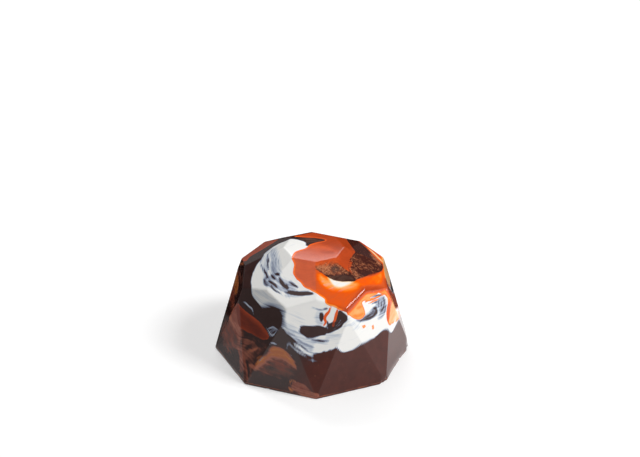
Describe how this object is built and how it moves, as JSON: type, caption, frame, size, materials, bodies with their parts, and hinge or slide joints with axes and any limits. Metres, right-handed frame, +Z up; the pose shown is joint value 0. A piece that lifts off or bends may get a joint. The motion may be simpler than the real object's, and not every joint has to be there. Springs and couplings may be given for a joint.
{
  "type": "chocolate praline",
  "caption": "Solid moulded chocolate praline in an eight-sided gem shape with kite and pentagon facets and a flat top, hand-painted in marbled cocoa butter, standing on its flat back.",
  "frame": {"origin": "middle of the flat back, on the surface that the praline stands on", "axes": "+Z up along the gem's axis; one base corner points along -Y, which is the side that the picture shows, and +X is to its right"},
  "size_m": [0.0298, 0.0298, 0.0176],
  "materials": {
    "chocolate": "tempered dark chocolate with a mirror gloss, under white, orange and copper-brown cocoa butter marbling"
  },
  "bodies": {
    "root": {"praline": "chocolate"}
  },
  "joints": []
}
